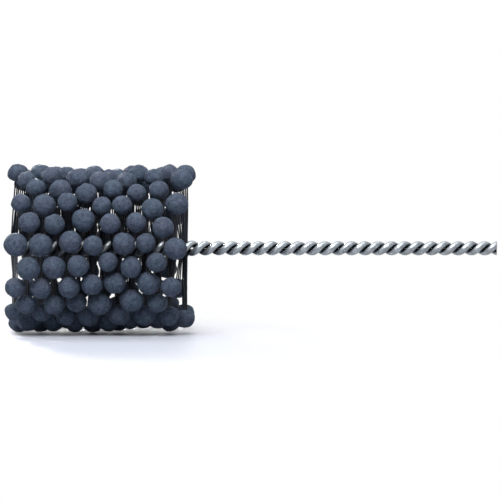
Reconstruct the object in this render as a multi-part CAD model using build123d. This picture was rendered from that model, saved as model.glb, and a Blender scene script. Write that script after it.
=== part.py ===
from build123d import *
import math
import os
import random

# A ball hone: two steel wires twisted into a stem that clamp bundles of nylon
# filaments, with an abrasive globule moulded on each end of every bundle.
# The stem lies along X with the head at -X, and the origin is the centre of
# the shank's cut end. All sizes are in millimetres and all angles in radians.

# Stem
overall_length = 203.0
wire_diameter = 2.93
twist_lead = 11.05
twist_hand = -1
wire_crest_x = -121.0
wire_touch_gap = 0.04
wire_points_per_turn = 24
tip_recess = 0.8
closing_length = 9.0

# Head
free_diameter = 70.3
bore_diameter = 64.0
abrasive_length = 76.0
tufts_per_turn = 11
first_root_x = -201.2
root_zone_length = 72.5

# Filaments
filament_diameter = 0.6
filaments_per_tuft = 3
clamped_half_width = 2.8
band_sections_per_turn = 12
clamp_clearance = 0.03
root_clearance = 0.12
filament_spacing = 1.4

# Globules
globule_diameter = 8.9
diameter_variation = 1.0
underside_ratio = 0.84
underside_variation = 0.07
underside_radius_ratio = 1.5
shoulder_ratio = 0.3
globule_tilt = math.radians(16)
axial_scatter = 2.2
angular_scatter = math.radians(6.0)
radial_scatter = 2.0
running_clearance = 0.3
socket_clearance = 0.06
filament_stop = 1.0
scatter_seed = 7
spreading_rounds = 300
spreading_push = 0.55
spreading_tolerance = 0.01
neighbour_turn = math.radians(50)

# Worked out from the sizes above
wire_radius = wire_diameter / 2
filament_radius = filament_diameter / 2
clamped_radius = wire_radius + filament_radius + clamp_clearance
touching_radius = wire_radius + wire_touch_gap / 2
tip_x = tip_recess - overall_length
tuft_pitch = twist_lead / tufts_per_turn
root_pitch = tuft_pitch / filaments_per_tuft
root_turn = 2 * math.pi * root_pitch / twist_lead
tuft_count = int(root_zone_length / tuft_pitch) + 1
last_root_x = first_root_x + (tuft_count - 1) * tuft_pitch
column_count = 2 * tufts_per_turn
travel = (free_diameter - bore_diameter) / 2
head_centre_x = -overall_length + abrasive_length / 2
globule_span = abrasive_length - globule_diameter
globule_pitch = globule_span / (tuft_count - 1)
largest_radius = (globule_diameter + diameter_variation) / 2


def turned(angle, distance, x=0.0):
    """The point at an angle about the stem's axis, measured from +Y towards +Z."""
    return Vector(x, distance * math.cos(angle), distance * math.sin(angle))


def wire_angle(x):
    """Where the first wire stands about the axis; it is uppermost at wire_crest_x."""
    return math.pi / 2 + twist_hand * 2 * math.pi * (x - wire_crest_x) / twist_lead


def gap_angle(x):
    """The direction in which filaments leave between the two wires."""
    return wire_angle(x) + math.pi / 2


def wire_centre_radius(x):
    """Held apart by the filaments in the head, closing to touch along the shank."""
    share = (x - last_root_x - tuft_pitch) / closing_length
    share = min(max(share, 0.0), 1.0)
    smooth = share * share * (3 - 2 * share)
    return clamped_radius + (touching_radius - clamped_radius) * smooth


def make_wire():
    """One strand of the stem, swept past both ends and then cut square."""
    start, end = tip_x - wire_diameter, wire_diameter
    count = round((end - start) / twist_lead * wire_points_per_turn)
    points = []
    for i in range(count + 1):
        x = start + (end - start) * i / count
        points.append(turned(wire_angle(x), wire_centre_radius(x), x))
    path = Spline(*points)
    section = Plane(origin=path @ 0, z_dir=path % 0) * Circle(wire_radius)
    strand = sweep(section, path=path, is_frenet=True)
    strand = split(strand, bisect_by=Plane.YZ, keep=Keep.BOTTOM)
    return split(strand, bisect_by=Plane.YZ.offset(tip_x), keep=Keep.TOP)


def make_clamped_band():
    """The filaments' clamped middles, pressed into one twisted band between the wires."""
    start = first_root_x - tuft_pitch / 2
    end = last_root_x + tuft_pitch / 2
    count = round((end - start) / twist_lead * band_sections_per_turn)
    sections = []
    for i in range(count + 1):
        x = start + (end - start) * i / count
        across = turned(gap_angle(x), 1.0)
        frame = Plane(origin=(x, 0, 0), x_dir=across, z_dir=(1, 0, 0))
        sections.append(frame * Rectangle(2 * clamped_half_width, filament_diameter))
    return loft(sections)


class Globule:
    """One abrasive lump: its place about the stem, its size and its tilt."""

    def __init__(self, tuft, end, scatter):
        self.tuft = tuft
        self.end = end
        self.column = (2 * tuft + end * tufts_per_turn) % column_count
        root_x = first_root_x + tuft * tuft_pitch
        self.row_angle = gap_angle(root_x) + end * math.pi
        self.radius = globule_diameter / 2 + scatter.uniform(-1, 1) * diameter_variation / 2
        middle = tuft - (tuft_count - 1) / 2
        self.x = head_centre_x + middle * globule_pitch
        self.x += scatter.uniform(-1, 1) * axial_scatter
        self.angle = self.row_angle + scatter.uniform(-1, 1) * angular_scatter
        reach = free_diameter / 2 - self.radius
        self.distance = reach - scatter.random() ** 2 * radial_scatter
        self.underside = underside_ratio + scatter.uniform(-1, 1) * underside_variation
        self.tilt = globule_tilt * math.sqrt(scatter.random())
        self.tilt_turn = scatter.uniform(0, 2 * math.pi)

    def place(self, press=0.0):
        """The centre when the globule's row is pressed in by some distance."""
        y = self.distance * math.cos(self.angle) - press * math.cos(self.row_angle)
        z = self.distance * math.sin(self.angle) - press * math.sin(self.row_angle)
        return self.x, y, z

    def centre(self):
        return Vector(*self.place())

    def keep_inside(self):
        """Holds the globule in the abrasive length and near its own column."""
        lowest = -overall_length + self.radius
        highest = lowest + abrasive_length - 2 * self.radius + 2 * axial_scatter
        self.x = min(max(self.x, lowest), highest)
        drift = self.angle - self.row_angle
        limit = angular_scatter
        self.angle = self.row_angle + min(max(drift, -limit), limit)


def scatter_globules():
    """Places every globule, then pushes neighbours apart until each row can be
    pressed in to the bore, alone or with the others, without meeting."""
    scatter = random.Random(scatter_seed)
    globules = []
    for tuft in range(tuft_count):
        for end in range(2):
            globules.append(Globule(tuft, end, scatter))
    for _ in range(spreading_rounds):
        missing = 0.0
        for i, one in enumerate(globules):
            for other in globules[i + 1:]:
                missing = max(missing, push_apart(one, other))
        for globule in globules:
            globule.keep_inside()
        if missing < spreading_tolerance:
            break
    return globules


def push_apart(one, other):
    """Moves two globules apart where they come too near, free or pressed in, and
    gives how much room was missing."""
    needed = one.radius + other.radius + running_clearance
    along = other.x - one.x
    turn = math.remainder(other.angle - one.angle, 2 * math.pi)
    if abs(along) >= needed or abs(turn) > neighbour_turn:
        return 0.0
    apart = min(
        math.dist(one.place(press), other.place(other_press))
        for press in (0.0, travel)
        for other_press in (0.0, travel)
    )
    missing = needed - apart
    if missing <= 0:
        return 0.0
    around = (one.distance + other.distance) / 2
    across = around * turn
    spread = spreading_push * missing / math.hypot(along, across)
    one.x -= spread * along
    other.x += spread * along
    one.angle -= spread * across / around
    other.angle += spread * across / around
    return missing


def globule_profile(radius, underside):
    """Half of the lump's section: a round dome, a flatter underside where the
    filaments enter, and a rounded shoulder between them."""
    flatter = radius * underside_radius_ratio
    dome = Circle(radius)
    under = Pos(0, flatter - radius * underside) * Circle(flatter)
    right_half = Rectangle(radius * 2, radius * 4, align=(Align.MIN, Align.CENTER))
    half = dome & under & right_half
    shoulder = half.vertices().sort_by(Axis.X)[-1]
    return fillet(shoulder, radius * shoulder_ratio)


def make_globule(globule, filaments):
    """The moulded lump with a socket for each filament that ends in it."""
    outward = turned(globule.angle, 1.0)
    profile = globule_profile(globule.radius, globule.underside)
    lump = revolve(Plane.XZ * profile, Axis.Z)
    frame = Plane(origin=globule.centre(), x_dir=(1, 0, 0), z_dir=outward)
    tilt = Rot(0, 0, math.degrees(globule.tilt_turn)) * Rot(math.degrees(globule.tilt), 0, 0)
    lump = frame * tilt * lump
    for tip, inward in filaments:
        mouth = Plane(origin=tip - inward * socket_clearance, z_dir=inward)
        hole = Circle(filament_radius + socket_clearance)
        lump -= extrude(mouth * hole, amount=2 * largest_radius)
    return lump


def filament_ends(globule, strand):
    """Where a filament leaves the clamped band and where it stops in its globule."""
    place = strand - (filaments_per_tuft - 1) / 2
    x = first_root_x + globule.tuft * tuft_pitch + place * root_pitch
    side = gap_angle(x) + globule.end * math.pi
    root = turned(side, clamped_half_width + root_clearance, x)
    heading = (globule.centre() - root).normalized()
    around = Vector(1, 0, 0).cross(heading).normalized()
    along = heading.cross(around)
    fan = math.atan2(root_pitch, twist_hand * root_turn * clamped_half_width)
    row = around * math.cos(fan) + along * math.sin(fan)
    tip = globule.centre() + row * (place * filament_spacing) - heading * filament_stop
    return root, tip


def make_filament(root, tip):
    section = Plane(origin=root, z_dir=tip - root) * Circle(filament_radius)
    return extrude(section, amount=(tip - root).length)


def write_node(name, solids):
    """Writes one sub-part's solids to its own STEP file."""
    flat = []
    for solid in solids:
        flat += solid.solids()
    export_step(Compound(children=flat), os.path.join("parts", name + ".step"))


os.makedirs("parts", exist_ok=True)

wire = make_wire()
write_node("stem_wire_a", [wire])
write_node("stem_wire_b", [Rot(180, 0, 0) * wire])

write_node("clamped_filaments", [make_clamped_band()])

filament_nodes = [[] for _ in range(column_count)]
globule_nodes = [[] for _ in range(column_count)]

for globule in scatter_globules():
    sockets = []
    for strand in range(filaments_per_tuft):
        root, tip = filament_ends(globule, strand)
        filament_nodes[globule.column].append(make_filament(root, tip))
        sockets.append((tip, (root - tip).normalized()))
    globule_nodes[globule.column].append(make_globule(globule, sockets))

for number, solids in enumerate(filament_nodes, start=1):
    write_node(f"nylon_filaments_{number:02d}", solids)
for number, solids in enumerate(globule_nodes, start=1):
    write_node(f"abrasive_globules_{number:02d}", solids)
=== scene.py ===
import math

import bmesh
import bpy
import numpy as np
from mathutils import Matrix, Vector, noise


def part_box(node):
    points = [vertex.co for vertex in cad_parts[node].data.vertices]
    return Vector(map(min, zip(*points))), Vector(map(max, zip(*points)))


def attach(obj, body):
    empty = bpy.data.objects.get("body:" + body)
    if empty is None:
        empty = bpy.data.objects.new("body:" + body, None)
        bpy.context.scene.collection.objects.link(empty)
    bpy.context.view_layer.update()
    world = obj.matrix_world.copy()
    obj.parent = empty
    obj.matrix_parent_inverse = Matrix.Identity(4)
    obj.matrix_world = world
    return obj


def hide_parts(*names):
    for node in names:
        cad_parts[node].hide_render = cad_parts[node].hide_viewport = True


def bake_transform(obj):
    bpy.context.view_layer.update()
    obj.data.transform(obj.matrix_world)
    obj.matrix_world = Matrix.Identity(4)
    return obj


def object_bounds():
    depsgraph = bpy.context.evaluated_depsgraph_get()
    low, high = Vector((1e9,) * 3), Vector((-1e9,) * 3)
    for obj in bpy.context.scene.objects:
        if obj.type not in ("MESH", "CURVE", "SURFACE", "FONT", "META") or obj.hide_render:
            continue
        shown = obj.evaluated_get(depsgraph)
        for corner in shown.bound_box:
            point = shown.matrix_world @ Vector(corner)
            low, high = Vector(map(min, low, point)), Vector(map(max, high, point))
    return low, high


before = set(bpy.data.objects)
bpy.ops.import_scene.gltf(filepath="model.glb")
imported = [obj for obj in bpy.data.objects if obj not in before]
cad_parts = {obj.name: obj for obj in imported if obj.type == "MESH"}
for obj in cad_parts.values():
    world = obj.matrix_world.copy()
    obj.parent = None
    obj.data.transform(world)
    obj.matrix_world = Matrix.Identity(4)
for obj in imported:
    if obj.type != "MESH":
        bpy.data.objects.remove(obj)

# The looks of a ball hone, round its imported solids: the stem lies along X with the head
# at -X, and the origin is the centre of the shank's cut end

cad_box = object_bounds()

# Sizes, in metres
MM = 0.001
WIRE_RADIUS = 1.465 * MM
TWIST_LEAD = 11.05 * MM
TWIST_HAND = -1
WIRE_CREST_X = -121.0 * MM
CLAMPED_RADIUS = 1.795 * MM
TOUCHING_RADIUS = 1.485 * MM
CLOSING_LENGTH = 9.0 * MM
FILAMENT_RADIUS = 0.3 * MM
TUFTS_PER_TURN = 11
FILAMENTS_PER_TUFT = 3
COLUMNS = 2 * TUFTS_PER_TURN
TIP_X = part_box("stem_wire_a")[0].x
BAND_LOW, BAND_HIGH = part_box("clamped_filaments")
CLAMPED_HALF_WIDTH = 2.8 * MM

# Wires: their mesh, waver and broken edges, and how far round each one the painted shade on
# its inner side reaches, where the two wires face each other
WIRE_SIDES = 28
WIRE_RINGS = 840
WIRE_WAVER = 0.006
WAVER_PER_METRE = 400
DRAW_LINES_PER_METRE = 4.0
TANGENT_STEP = 0.05 * MM
# How far round the wire the painted shade on its inner side reaches, and how softly it fades
# out
PAINTED_SHADE_EDGE = 0.30
PAINTED_SHADE_FADE = 0.55
EDGE_BREAK = 0.16 * MM
EDGE_ROUNDNESS = 0.6

# Filaments: their mesh, how they bow, and how the clamped ones are pressed
FILAMENT_SIDES = 8
FILAMENT_STEPS = 14
BOW = 0.4 * MM
BOW_SEED = 900
ROOT_OVERLAP = 0.6 * MM
PRESSED_THINNING = 0.98
PRESSED_VARIATION = 0.06
PRESSED_SEED = 3000

# How a lump departs from its solid's round form. Each wave has how often it comes,
# its height as a share of the radius, and its own part of the seed
BALL_DIVISIONS = 5
WIDENING = 0.02
UNDERSIDE_SINKING = 0.86
LUMP_SIZE = 0.978
LUMP_WAVES = ((1.3, 0.066, 1), (3.4, 0.034, 2), (10.0, 0.014, 3), (21.0, 0.008, 5))
LUMP_SEED = 1700
NECK_TOP = -0.4
NECK_REACH = 2.2 * FILAMENT_RADIUS
NECK_HEIGHT = 0.5 * MM

# Corner points nearer than this are one point of a solid
SAME_POINT = 1e-7

# Floor: its size and where it turns white, in its own coordinates
FLOOR_SIZE = 6.0
FADE_SHIFT = (0.063, 0.036, 0.0)
FADE_STRETCH = (21.0, 14.0, 0.0)
FADE_START = 0.5
FADE_END = 2.2

# Camera, from the photograph's frame of 500 pixels
FRAME_PIXELS = 500
OBJECT_LEFT_PIXEL = 4.3
OBJECT_RIGHT_PIXEL = 496.6
AXIS_ROW_PIXEL = 248.3
OBJECT_LENGTH = 203.0 * MM
LEFT_EDGE_NEARNESS = 14.0 * MM
CAMERA_DISTANCE = 1.0
CAMERA_ELEVATION = math.radians(2.8)
SENSOR_WIDTH = 36.0


def make_camera():
    """A long lens, square to the stem and a little above it, framed as the photograph is."""
    middle = FRAME_PIXELS / 2
    nearness = CAMERA_DISTANCE / (CAMERA_DISTANCE - LEFT_EDGE_NEARNESS)
    left = (middle - OBJECT_LEFT_PIXEL) / nearness
    right = OBJECT_RIGHT_PIXEL - middle
    pixel = OBJECT_LENGTH / (left + right)
    target = Vector((-right * pixel, 0.0, -(middle - AXIS_ROW_PIXEL) * pixel))
    data = bpy.data.cameras.new("camera")
    data.sensor_width = SENSOR_WIDTH
    data.lens = SENSOR_WIDTH * CAMERA_DISTANCE / (FRAME_PIXELS * pixel)
    data.clip_start = 0.01
    camera = bpy.data.objects.new("camera", data)
    away = Vector((0, -math.cos(CAMERA_ELEVATION), math.sin(CAMERA_ELEVATION)))
    camera.location = target + away * CAMERA_DISTANCE
    camera.rotation_euler = (math.pi / 2 - CAMERA_ELEVATION, 0, 0)
    bpy.context.scene.collection.objects.link(camera)
    bpy.context.scene.camera = camera


def new_material(name):
    """A node material, with its nodes, links and shader."""
    material = bpy.data.materials.new(name)
    material.use_nodes = True
    nodes = material.node_tree.nodes
    return material, nodes, material.node_tree.links, nodes["Principled BSDF"]


def add_noise(nodes, links, coordinates, scale, detail, roughness=0.55):
    """Smooth unevenness that comes about scale times in one unit of the coordinates."""
    node = nodes.new("ShaderNodeTexNoise")
    node.inputs["Scale"].default_value = scale
    node.inputs["Detail"].default_value = detail
    node.inputs["Roughness"].default_value = roughness
    links.new(coordinates, node.inputs["Vector"])
    return node.outputs["Fac"]


def add_ramp(nodes, links, source, stops):
    """A colour ramp through (place, colour) stops."""
    node = nodes.new("ShaderNodeValToRGB")
    elements = node.color_ramp.elements
    while len(elements) < len(stops):
        elements.new(0.5)
    for element, (place, colour) in zip(elements, stops):
        element.position = place
        element.color = (*colour, 1.0)
    links.new(source, node.inputs["Fac"])
    return node.outputs["Color"]


def add_mix(nodes, links, factor, first, second, blend="MIX"):
    """A mix of two colours. Each value is a socket, a colour or a number."""
    node = nodes.new("ShaderNodeMix")
    node.data_type = "RGBA"
    node.blend_type = blend
    factor_socket, first_socket, second_socket = node.inputs[0], node.inputs[6], node.inputs[7]
    sockets = ((factor_socket, factor), (first_socket, first), (second_socket, second))
    for socket, value in sockets:
        if isinstance(value, bpy.types.NodeSocket):
            links.new(value, socket)
        elif isinstance(value, tuple):
            socket.default_value = (*value, 1.0)
        else:
            socket.default_value = value
    return node.outputs[2]


def add_bump(nodes, links, height, distance, strength, normal=None):
    """A bump, on top of another one where its normal is given."""
    node = nodes.new("ShaderNodeBump")
    node.inputs["Distance"].default_value = distance
    node.inputs["Strength"].default_value = strength
    links.new(height, node.inputs["Height"])
    if normal is not None:
        links.new(normal, node.inputs["Normal"])
    return node.outputs["Normal"]


def object_coordinates(nodes):
    """The place on the piece, in metres."""
    return nodes.new("ShaderNodeTexCoord").outputs["Object"]


def abrasive_material():
    """Dark slate grit in resin: dull, speckled with grains, its tint differing by lump."""
    material, nodes, links, shader = new_material("abrasive_grit")
    place = object_coordinates(nodes)
    tint = add_noise(nodes, links, place, 130.0, 1.0)
    body = add_ramp(nodes, links, tint, (
        (0.34, (0.029, 0.044, 0.067)),
        (0.50, (0.031, 0.044, 0.070)),
        (0.66, (0.034, 0.044, 0.070)),
    ))
    patches = add_noise(nodes, links, place, 520.0, 5.0, 0.62)
    shade = add_ramp(nodes, links, patches, (
        (0.30, (0.55, 0.56, 0.60)),
        (0.70, (1.45, 1.45, 1.40)),
    ))
    body = add_mix(nodes, links, 1.0, body, shade, "MULTIPLY")
    grain = nodes.new("ShaderNodeTexVoronoi")
    grain.inputs["Scale"].default_value = 3200.0
    links.new(place, grain.inputs["Vector"])
    fleck = add_ramp(nodes, links, grain.outputs["Color"], (
        (0.55, (0.0, 0.0, 0.0)),
        (0.95, (1.0, 1.0, 1.0)),
    ))
    body = add_mix(nodes, links, 0.04, body, fleck, "SCREEN")
    links.new(body, shader.inputs["Base Color"])
    shader.inputs["Roughness"].default_value = 0.8
    shader.inputs["Specular IOR Level"].default_value = 0.2
    coarse = add_noise(nodes, links, place, 1300.0, 6.0, 0.7)
    normal = add_bump(nodes, links, coarse, 0.30 * MM, 0.7)
    normal = add_bump(nodes, links, grain.outputs["Distance"], 0.12 * MM, 0.9, normal)
    links.new(normal, shader.inputs["Normal"])
    return material


def nylon_material():
    """Near-black drawn nylon, softly shiny, with fine unevenness and grit dust."""
    material, nodes, links, shader = new_material("nylon_filament")
    place = object_coordinates(nodes)
    dust = add_noise(nodes, links, place, 900.0, 4.0, 0.6)
    colour = add_ramp(nodes, links, dust, (
        (0.35, (0.001, 0.003, 0.008)),
        (0.75, (0.008, 0.011, 0.019)),
    ))
    links.new(colour, shader.inputs["Base Color"])
    shader.inputs["Specular IOR Level"].default_value = 0.16
    rough = nodes.new("ShaderNodeMapRange")
    rough.inputs["To Min"].default_value = 0.34
    rough.inputs["To Max"].default_value = 0.58
    links.new(dust, rough.inputs["Value"])
    links.new(rough.outputs["Result"], shader.inputs["Roughness"])
    normal = add_bump(nodes, links, dust, 0.03 * MM, 0.4)
    links.new(normal, shader.inputs["Normal"])
    return material


def steel_material():
    """Bright galvanised wire: fine draw lines along it, dull zinc patches, and painted shade
    that darkens the inner side of each wire where the wires face each other.
    """
    material, nodes, links, shader = new_material("galvanised_wire")
    place = object_coordinates(nodes)
    zinc = add_noise(nodes, links, place, 420.0, 5.0, 0.6)
    colour = add_ramp(nodes, links, zinc, (
        (0.3, (0.17, 0.19, 0.21)),
        (0.7, (0.36, 0.39, 0.42)),
    ))
    # Painted shade: near black on the inner side of each wire, where the wires face each other
    # and the filaments
    groove_painted_shade = nodes.new("ShaderNodeAttribute")
    groove_painted_shade.attribute_name = "groove_painted_shade"
    colour = add_mix(nodes, links, groove_painted_shade.outputs["Fac"], colour, (0.012, 0.014, 0.018))
    links.new(colour, shader.inputs["Base Color"])
    shader.inputs["Metallic"].default_value = 0.8
    rough = nodes.new("ShaderNodeMapRange")
    rough.inputs["To Min"].default_value = 0.26
    rough.inputs["To Max"].default_value = 0.42
    links.new(zinc, rough.inputs["Value"])
    links.new(rough.outputs["Result"], shader.inputs["Roughness"])
    along = nodes.new("ShaderNodeAttribute")
    along.attribute_name = "draw_lines"
    lines = add_noise(nodes, links, along.outputs["Vector"], 60.0, 3.0, 0.5)
    normal = add_bump(nodes, links, lines, 0.02 * MM, 0.2)
    normal = add_bump(nodes, links, zinc, 0.03 * MM, 0.12, normal)
    links.new(normal, shader.inputs["Normal"])
    return material


def link_piece(name, mesh, material, body):
    """A finished mesh as a smooth shaded piece, riding on its body if one is given."""
    mesh.shade_smooth()
    mesh.materials.append(material)
    piece = bpy.data.objects.new(name, mesh)
    bpy.context.scene.collection.objects.link(piece)
    if body:
        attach(piece, body)
    return piece


def wire_angle(x):
    """Where the first wire stands about the axis."""
    return math.pi / 2 + TWIST_HAND * 2 * math.pi * (x - WIRE_CREST_X) / TWIST_LEAD


def wire_centre(x, phase):
    """A point on a wire's centre line: apart in the head, closing to touch in the shank."""
    half_tuft = 0.5 * TWIST_LEAD / TUFTS_PER_TURN
    share = (x - BAND_HIGH.x - half_tuft) / CLOSING_LENGTH
    share = min(max(share, 0.0), 1.0)
    smooth = share * share * (3 - 2 * share)
    distance = CLAMPED_RADIUS + (TOUCHING_RADIUS - CLAMPED_RADIUS) * smooth
    angle = wire_angle(x) + phase
    return Vector((x, distance * math.cos(angle), distance * math.sin(angle)))


def make_wire(name, phase, node, material):
    """One strand of the stem as a fine tube, cut square, with broken edges at its ends."""
    steps = WIRE_RINGS
    overrun = 2 * WIRE_RADIUS
    start, end = TIP_X - overrun, overrun
    mesh = bpy.data.meshes.new(name)
    form = bmesh.new()
    rings = []
    lines = form.verts.layers.float_vector.new("draw_lines")
    # Painted shade mask, stored on the wire's points
    groove_painted_shade = form.verts.layers.float.new("groove_painted_shade")
    for i in range(steps + 1):
        x = start + (end - start) * i / steps
        centre = wire_centre(x, phase)
        ahead = wire_centre(x + TANGENT_STEP, phase) - wire_centre(x - TANGENT_STEP, phase)
        ahead.normalize()
        outward = Vector((0, centre.y, centre.z)).normalized()
        outward = (outward - ahead * outward.dot(ahead)).normalized()
        side = ahead.cross(outward)
        ring = []
        for j in range(WIRE_SIDES):
            turn = 2 * math.pi * j / WIRE_SIDES
            direction = outward * math.cos(turn) + side * math.sin(turn)
            place = Vector((x * WAVER_PER_METRE, math.cos(turn), math.sin(turn) + phase))
            waver = 1.0 + WIRE_WAVER * noise.noise(place)
            vert = form.verts.new(centre + direction * WIRE_RADIUS * waver)
            vert[lines] = Vector((x * DRAW_LINES_PER_METRE, math.cos(turn), math.sin(turn)))
            # Painted shade mask: 1 on the inner side of the wire, facing the other wire,
            # fading to 0 towards the outside
            vert[groove_painted_shade] = min(max((PAINTED_SHADE_EDGE - math.cos(turn)) / PAINTED_SHADE_FADE, 0.0), 1.0)
            ring.append(vert)
        rings.append(ring)
    for near, far in zip(rings, rings[1:]):
        for j in range(WIRE_SIDES):
            k = (j + 1) % WIRE_SIDES
            form.faces.new((near[j], near[k], far[k], far[j]))
    for plane_x, normal in ((TIP_X, -1), (0.0, 1)):
        cut = bmesh.ops.bisect_plane(
            form,
            geom=form.verts[:] + form.edges[:] + form.faces[:],
            plane_co=(plane_x, 0, 0),
            plane_no=(normal, 0, 0),
            clear_outer=True,
        )
        rim = [e for e in cut["geom_cut"] if isinstance(e, bmesh.types.BMEdge)]
        bmesh.ops.edgeloop_fill(form, edges=rim)
        bmesh.ops.bevel(
            form,
            geom=rim,
            offset=EDGE_BREAK,
            segments=2,
            profile=EDGE_ROUNDNESS,
            affect="EDGES",
        )
    bmesh.ops.recalc_face_normals(form, faces=form.faces[:])
    form.to_mesh(mesh)
    form.free()
    piece = link_piece(name, mesh, material, "stem")
    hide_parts(node)


def loose_parts(node):
    """The separate solids of a CAD node, each as an array of its corner points."""
    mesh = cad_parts[node].data
    count = len(mesh.vertices)
    points = np.empty(count * 3)
    mesh.vertices.foreach_get("co", points)
    points = points.reshape(-1, 3)
    keys = {}
    same = np.empty(count, int)
    for i, point in enumerate(np.round(points / SAME_POINT).astype(np.int64).tolist()):
        same[i] = keys.setdefault(tuple(point), i)
    owner = list(range(count))

    def find(i):
        while owner[i] != i:
            owner[i] = owner[owner[i]]
            i = owner[i]
        return i

    for edge in mesh.edges:
        a, b = find(same[edge.vertices[0]]), find(same[edge.vertices[1]])
        if a != b:
            owner[a] = b
    groups = {}
    for i in range(count):
        groups.setdefault(find(same[i]), []).append(i)
    return [points[group] for group in groups.values()]


def add_tube(form, route, radius):
    """Adds a closed round tube along a route of points."""
    rings = []
    previous = None
    for i, point in enumerate(route):
        ahead = (route[min(i + 1, len(route) - 1)] - route[max(i - 1, 0)]).normalized()
        if previous is None:
            previous = ahead.orthogonal().normalized()
        side = (previous - ahead * previous.dot(ahead)).normalized()
        previous = side
        other = ahead.cross(side)
        ring = []
        for j in range(FILAMENT_SIDES):
            turn = 2 * math.pi * j / FILAMENT_SIDES
            offset = (side * math.cos(turn) + other * math.sin(turn)) * radius
            ring.append(form.verts.new(point + offset))
        rings.append(ring)
    for near, far in zip(rings, rings[1:]):
        for j in range(FILAMENT_SIDES):
            k = (j + 1) % FILAMENT_SIDES
            form.faces.new((near[j], near[k], far[k], far[j]))
    form.faces.new(list(reversed(rings[0])))
    form.faces.new(rings[-1])


def filament_lines(column):
    """Each filament of a row as its root and its tip, read from the CAD node."""
    lines = []
    for points in loose_parts(f"nylon_filaments_{column:02d}"):
        reach = np.hypot(points[:, 1], points[:, 2])
        middle = (reach.min() + reach.max()) / 2
        root = Vector(points[reach < middle].mean(0))
        tip = Vector(points[reach > middle].mean(0))
        lines.append((root, tip))
    return lines


def make_filaments(column, material):
    """A row's filaments: drawn nylon that bows a little between the wires and its globule."""
    name = f"filaments_{column:02d}"
    form = bmesh.new()
    for root, tip in filament_lines(column):
        heading = (tip - root).normalized()
        seed = root * BOW_SEED
        bow = Vector((noise.noise(seed), noise.noise(seed.yzx), noise.noise(seed.zxy)))
        bow = (bow - heading * bow.dot(heading)) * BOW
        route = []
        for i in range(FILAMENT_STEPS + 1):
            share = i / FILAMENT_STEPS
            route.append(root.lerp(tip, share) + bow * math.sin(math.pi * share) ** 2)
        route.insert(0, root - heading * ROOT_OVERLAP)
        add_tube(form, route, FILAMENT_RADIUS)
    mesh = bpy.data.meshes.new(name)
    form.to_mesh(mesh)
    form.free()
    piece = link_piece(name, mesh, material, None)
    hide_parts(f"nylon_filaments_{column:02d}")
    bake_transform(piece)


def make_clamped_middles(material):
    """The filaments' middles side by side between the wires, pressed narrow."""
    form = bmesh.new()
    pitch = TWIST_LEAD / (TUFTS_PER_TURN * FILAMENTS_PER_TUFT)
    count = round((BAND_HIGH.x - BAND_LOW.x) / pitch)
    for i in range(count):
        x = BAND_LOW.x + (i + 0.5) * pitch
        angle = wire_angle(x) + math.pi / 2
        across = Vector((0, math.cos(angle), math.sin(angle)))
        uneven = noise.noise(Vector((x * PRESSED_SEED, 0, 0)))
        half = CLAMPED_HALF_WIDTH * (1 + PRESSED_VARIATION * uneven)
        route = [Vector((x, 0, 0)) + across * half * s for s in (-1, -0.5, 0, 0.5, 1)]
        add_tube(form, route, FILAMENT_RADIUS * PRESSED_THINNING)
    mesh = bpy.data.meshes.new("filament_middles")
    form.to_mesh(mesh)
    form.free()
    piece = link_piece("filament_middles", mesh, material, "stem")
    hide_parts("clamped_filaments")


def globule_places(column):
    """Each globule's centre, radius, outward direction and the depth of its underside,
    as a share of the radius, read from the CAD node."""
    places = []
    for points in loose_parts(f"abrasive_globules_{column:02d}"):
        middle = points.mean(0)
        up = np.array((0.0, middle[1], middle[2]))
        up /= np.linalg.norm(up)
        side = np.cross(up, (1.0, 0.0, 0.0))
        wide = np.ptp(points[:, 0]), np.ptp(points @ side)
        radius = max(wide) / 2
        height = np.ptp(points @ up)
        top = (points @ up).max()
        across = ((points @ side).max() + (points @ side).min()) / 2
        x = (points[:, 0].max() + points[:, 0].min()) / 2
        centre = Vector((x, 0, 0)) + Vector(side) * across + Vector(up) * (top - radius)
        places.append((centre, radius, Vector(up), height / radius - 1))
    return places


def unit_ball():
    """The directions and faces of a finely divided ball."""
    form = bmesh.new()
    divisions = BALL_DIVISIONS
    bmesh.ops.create_icosphere(form, subdivisions=divisions, radius=1.0)
    directions = [v.co.normalized() for v in form.verts]
    faces = [tuple(v.index for v in f.verts) for f in form.faces]
    form.free()
    return directions, faces


def globule_surface(direction, seed, radius, up, flat, lines, centre):
    """One surface point of a lump: dented, gritty, and drawn down round its filaments.
    It doesn't pass the end of the head."""
    rise = direction.dot(up)
    point = (direction + (direction - up * rise) * WIDENING) * radius
    if rise < 0:
        point -= up * rise * radius * (1 - flat * UNDERSIDE_SINKING)
    scale = LUMP_SIZE
    for often, height, part in LUMP_WAVES:
        scale += height * noise.noise(direction * often + seed * part)
    point = centre + point * scale
    if rise < NECK_TOP:
        for root, tip in lines:
            axis = (root - tip).normalized()
            offset = point - tip
            away = (offset - axis * offset.dot(axis)).length
            if away < NECK_REACH:
                share = 1 - away / NECK_REACH
                point += axis * share * share * NECK_HEIGHT
    point.x = max(point.x, cad_box[0].x)
    return point


def make_globules(column, ball, material):
    """A row's lumps as one piece, on the row's body."""
    directions, faces = ball
    lines = filament_lines(column)
    vertices, triangles = [], []
    for centre, radius, up, flat in globule_places(column):
        own = [line for line in lines if (line[1] - centre).length < radius]
        seed = centre * LUMP_SEED
        first = len(vertices)
        for direction in directions:
            vertices.append(globule_surface(direction, seed, radius, up, flat, own, centre))
        triangles += [tuple(first + i for i in face) for face in faces]
    name = f"globules_{column:02d}"
    mesh = bpy.data.meshes.new(name)
    mesh.from_pydata(vertices, [], triangles)
    piece = link_piece(name, mesh, material, f"column_{column:02d}")
    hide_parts(f"abrasive_globules_{column:02d}")


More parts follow.
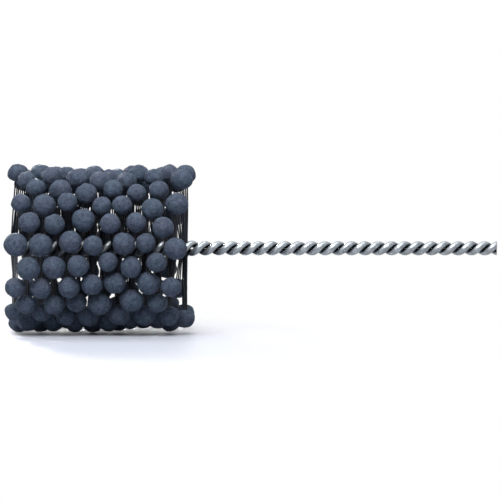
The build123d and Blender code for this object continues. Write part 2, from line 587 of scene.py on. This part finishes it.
def seen_directly(nodes, links):
    """1 where the camera looks at the background, or sees it mirrored or through a piece."""
    path = nodes.new("ShaderNodeLightPath")
    seen = path.outputs["Is Camera Ray"]
    for kind in ("Is Glossy Ray", "Is Transmission Ray"):
        either = nodes.new("ShaderNodeMath")
        either.operation = "MAXIMUM"
        links.new(seen, either.inputs[0])
        links.new(path.outputs[kind], either.inputs[1])
        seen = either.outputs["Value"]
    return seen


def make_floor():
    """A pale floor under the head that fades into the white around it."""
    bottom = cad_box[0].z
    bpy.ops.mesh.primitive_plane_add(size=FLOOR_SIZE, location=(-0.1, 0, bottom))
    floor = bpy.context.object
    floor.name = "floor"
    material, nodes, links, shader = new_material("studio_floor")
    shader.inputs["Base Color"].default_value = (0.42, 0.44, 0.495, 1)
    shader.inputs["Roughness"].default_value = 0.4
    shader.inputs["Specular IOR Level"].default_value = 0.42
    white = nodes.new("ShaderNodeEmission")
    white.inputs["Strength"].default_value = 1.0
    place = object_coordinates(nodes)
    shift = nodes.new("ShaderNodeVectorMath")
    shift.operation = "ADD"
    shift.inputs[1].default_value = FADE_SHIFT
    links.new(place, shift.inputs[0])
    stretch = nodes.new("ShaderNodeVectorMath")
    stretch.operation = "MULTIPLY"
    stretch.inputs[1].default_value = FADE_STRETCH
    links.new(shift.outputs["Vector"], stretch.inputs[0])
    length = nodes.new("ShaderNodeVectorMath")
    length.operation = "LENGTH"
    links.new(stretch.outputs["Vector"], length.inputs[0])
    fade = nodes.new("ShaderNodeMapRange")
    fade.interpolation_type = "SMOOTHSTEP"
    fade.inputs["From Min"].default_value = FADE_START
    fade.inputs["From Max"].default_value = FADE_END
    links.new(length.outputs["Value"], fade.inputs["Value"])
    factor = nodes.new("ShaderNodeMath")
    factor.operation = "MULTIPLY"
    links.new(seen_directly(nodes, links), factor.inputs[0])
    links.new(fade.outputs["Result"], factor.inputs[1])
    mixed = nodes.new("ShaderNodeMixShader")
    links.new(factor.outputs["Value"], mixed.inputs["Fac"])
    links.new(shader.outputs["BSDF"], mixed.inputs[1])
    links.new(white.outputs["Emission"], mixed.inputs[2])
    links.new(mixed.outputs["Shader"], nodes["Material Output"].inputs["Surface"])
    floor.data.materials.append(material)


def make_world():
    """White to the camera; soft grey studio light that is brighter overhead for all else."""
    world = bpy.data.worlds.new("studio")
    bpy.context.scene.world = world
    world.use_nodes = True
    nodes, links = world.node_tree.nodes, world.node_tree.links
    nodes.clear()
    output = nodes.new("ShaderNodeOutputWorld")
    seen = nodes.new("ShaderNodeBackground")
    seen.inputs["Color"].default_value = (1, 1, 1, 1)
    light = nodes.new("ShaderNodeBackground")
    split = nodes.new("ShaderNodeSeparateXYZ")
    links.new(nodes.new("ShaderNodeTexCoord").outputs["Generated"], split.inputs["Vector"])
    level = nodes.new("ShaderNodeMapRange")
    level.inputs["From Min"].default_value = -1.0
    links.new(split.outputs["Z"], level.inputs["Value"])
    sky = add_ramp(nodes, links, level.outputs["Result"], (
        (0.0, (0.20, 0.22, 0.26)),
        (0.50, (0.10, 0.115, 0.145)),
        (0.72, (0.10, 0.115, 0.145)),
        (0.90, (0.40, 0.42, 0.46)),
    ))
    links.new(sky, light.inputs["Color"])
    mixed = nodes.new("ShaderNodeMixShader")
    links.new(seen_directly(nodes, links), mixed.inputs["Fac"])
    links.new(light.outputs["Background"], mixed.inputs[1])
    links.new(seen.outputs["Background"], mixed.inputs[2])
    links.new(mixed.outputs["Shader"], output.inputs["Surface"])


def add_light(name, place, target, size, watts, spread=math.pi):
    """A soft rectangular lamp. A small spread keeps its light on what it is aimed at."""
    data = bpy.data.lights.new(name, "AREA")
    data.shape = "RECTANGLE"
    data.size, data.size_y = size
    data.energy = watts
    data.spread = spread
    light = bpy.data.objects.new(name, data)
    light.location = place
    light.rotation_euler = (Vector(target) - Vector(place)).to_track_quat("-Z", "Y").to_euler()
    bpy.context.scene.collection.objects.link(light)


make_camera()
make_world()
make_floor()
add_light("key", (-0.22, -0.58, 0.74), (-0.14, 0, 0), (0.7, 0.5), 15.4)
add_light("top", (-0.10, 0.05, 0.70), (-0.10, 0, 0), (0.9, 0.35), 4.0)
add_light("back", (-0.42, 0.60, 0.40), (-0.18, 0, 0), (0.10, 0.10), 0.09, math.radians(16))

steel = steel_material()
nylon = nylon_material()
abrasive = abrasive_material()
make_wire("wire_a", 0.0, "stem_wire_a", steel)
make_wire("wire_b", math.pi, "stem_wire_b", steel)
make_clamped_middles(nylon)
ball = unit_ball()
for column in range(1, COLUMNS + 1):
    make_filaments(column, nylon)
    make_globules(column, ball, abrasive)

bpy.context.scene.view_settings.view_transform = "Standard"
